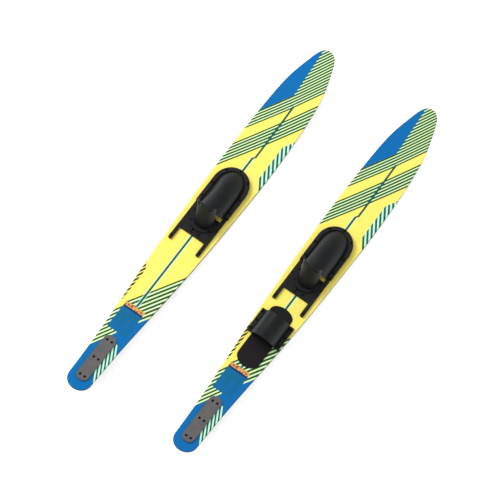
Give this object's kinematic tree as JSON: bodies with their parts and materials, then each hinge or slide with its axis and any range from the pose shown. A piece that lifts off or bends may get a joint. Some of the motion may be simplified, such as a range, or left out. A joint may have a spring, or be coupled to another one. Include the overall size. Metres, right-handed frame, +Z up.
{
  "type": "combo water ski pair",
  "caption": "Pair of adjustable combo water skis with printed decks, sliding heel bindings and tail fins, one with a rear toe strap, lying side by side",
  "frame": {"origin": "middle of the outer box of the pair, on the floor", "axes": "+X from the tails to the tips, +Y to the left, +Z up"},
  "size_m": [1.7412, 0.6402, 0.1776],
  "materials": {
    "deck_print": "glossy printed laminate: yellow field with blue areas and dark green and pale diagonal stripes, black base",
    "binding_plastic": "black glass-filled nylon with a fine moulded grain",
    "binding_rubber": "soft black rubber, satin",
    "foam": "black closed-cell foam with a pressed diamond grain",
    "fin_plastic": "dark grey moulded plastic",
    "screw_steel": "blackened stainless steel",
    "spring_steel": "bright spring steel",
    "insert_brass": "turned brass"
  },
  "bodies": {
    "left_ski": {"left_ski_board": "deck_print", "left_ski_inserts": "insert_brass", "left_ski_fin_plate": "fin_plastic", "left_ski_fin": "fin_plastic", "left_ski_fin_screws": "screw_steel", "left_ski_toe_plate": "binding_plastic", "left_ski_toe_pad": "foam", "left_ski_toe_overlay": "binding_rubber", "left_ski_toe_frame": "binding_plastic", "left_ski_toe_frame_screws": "screw_steel", "left_ski_rail_left": "binding_plastic", "left_ski_rail_right": "binding_plastic", "left_ski_rail_screws": "screw_steel"},
    "left_heel_piece": {"left_ski_heel_slider": "binding_plastic", "left_ski_heel_pad": "foam", "left_ski_heel_cup": "binding_rubber", "left_ski_heel_clamp": "binding_plastic", "left_ski_heel_clamp_screws": "screw_steel", "left_ski_lock_spring": "spring_steel"},
    "left_lock_bar_left": {"left_ski_lock_bar_left": "binding_plastic"},
    "left_lock_bar_right": {"left_ski_lock_bar_right": "binding_plastic"},
    "right_ski": {"right_ski_board": "deck_print", "right_ski_inserts": "insert_brass", "right_ski_fin_plate": "fin_plastic", "right_ski_fin": "fin_plastic", "right_ski_fin_screws": "screw_steel", "right_ski_toe_plate": "binding_plastic", "right_ski_toe_pad": "foam", "right_ski_toe_overlay": "binding_rubber", "right_ski_toe_frame": "binding_plastic", "right_ski_toe_frame_screws": "screw_steel", "right_ski_rail_left": "binding_plastic", "right_ski_rail_right": "binding_plastic", "right_ski_rail_screws": "screw_steel", "right_ski_rear_pad": "foam", "right_ski_rear_strap": "binding_rubber", "right_ski_rear_clamp_left": "binding_plastic", "right_ski_rear_clamp_right": "binding_plastic", "right_ski_rear_clamp_screws": "screw_steel"},
    "right_heel_piece": {"right_ski_heel_slider": "binding_plastic", "right_ski_heel_pad": "foam", "right_ski_heel_cup": "binding_rubber", "right_ski_heel_clamp": "binding_plastic", "right_ski_heel_clamp_screws": "screw_steel", "right_ski_lock_spring": "spring_steel"},
    "right_lock_bar_left": {"right_ski_lock_bar_left": "binding_plastic"},
    "right_lock_bar_right": {"right_ski_lock_bar_right": "binding_plastic"}
  },
  "joints": [
    {"name": "right_ski_lift", "type": "slide", "parent": "left_ski", "child": "right_ski", "axis": [0, 0, 1], "range_m": [0, 0.3]},
    {"name": "left_heel_slide", "type": "slide", "parent": "left_ski", "child": "left_heel_piece", "axis": [0.999, 0, -0.0437], "range_m": [-0.055, 0.005]},
    {"name": "left_lock_pinch_left", "type": "slide", "parent": "left_heel_piece", "child": "left_lock_bar_left", "axis": [0, -1, 0], "range_m": [0, 0.005], "stiffness_N_per_m": 600, "springref_m": -0.002, "deforming": ["left_ski_lock_spring"]},
    {"name": "left_lock_pinch_right", "type": "slide", "parent": "left_heel_piece", "child": "left_lock_bar_right", "axis": [0, 1, 0], "range_m": [0, 0.005], "stiffness_N_per_m": 600, "springref_m": -0.002},
    {"name": "right_heel_slide", "type": "slide", "parent": "right_ski", "child": "right_heel_piece", "axis": [0.999, 0, -0.0437], "range_m": [-0.055, 0.005]},
    {"name": "right_lock_pinch_left", "type": "slide", "parent": "right_heel_piece", "child": "right_lock_bar_left", "axis": [0, -1, 0], "range_m": [0, 0.005], "stiffness_N_per_m": 600, "springref_m": -0.002, "deforming": ["right_ski_lock_spring"]},
    {"name": "right_lock_pinch_right", "type": "slide", "parent": "right_heel_piece", "child": "right_lock_bar_right", "axis": [0, 1, 0], "range_m": [0, 0.005], "stiffness_N_per_m": 600, "springref_m": -0.002}
  ],
  "couplings": [
    {"joint": "left_lock_pinch_right", "follows": "left_lock_pinch_left", "ratio": 1},
    {"joint": "right_lock_pinch_right", "follows": "right_lock_pinch_left", "ratio": 1}
  ]
}
